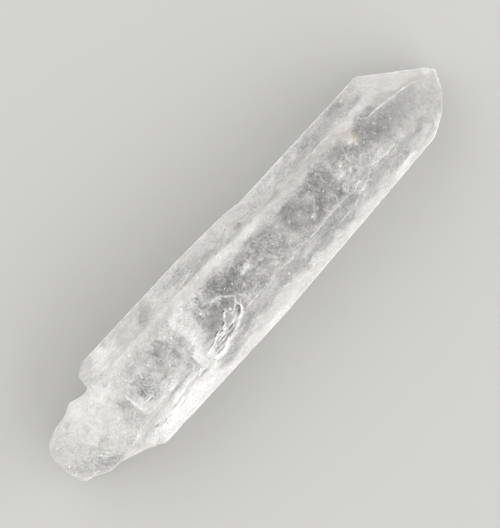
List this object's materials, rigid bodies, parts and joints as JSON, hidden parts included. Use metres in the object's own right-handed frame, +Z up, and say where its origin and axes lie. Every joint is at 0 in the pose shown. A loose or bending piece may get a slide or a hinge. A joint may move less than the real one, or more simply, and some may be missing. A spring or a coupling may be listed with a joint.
{
  "type": "quartz crystal",
  "caption": "Clear to milky rock crystal point: a long six-sided prism lying on one face, with a pointed tip and a broken, milky root.",
  "frame": {"origin": "under the middle of the crystal's box, on the prism face it lies on", "axes": "+X along the crystal's length towards its point, +Z up, away from the face it lies on"},
  "size_m": [0.09, 0.0194, 0.0166],
  "materials": {
    "quartz": "clear to milky, natural satin faces"
  },
  "bodies": {
    "root": {"quartz_crystal": "quartz"}
  },
  "joints": []
}
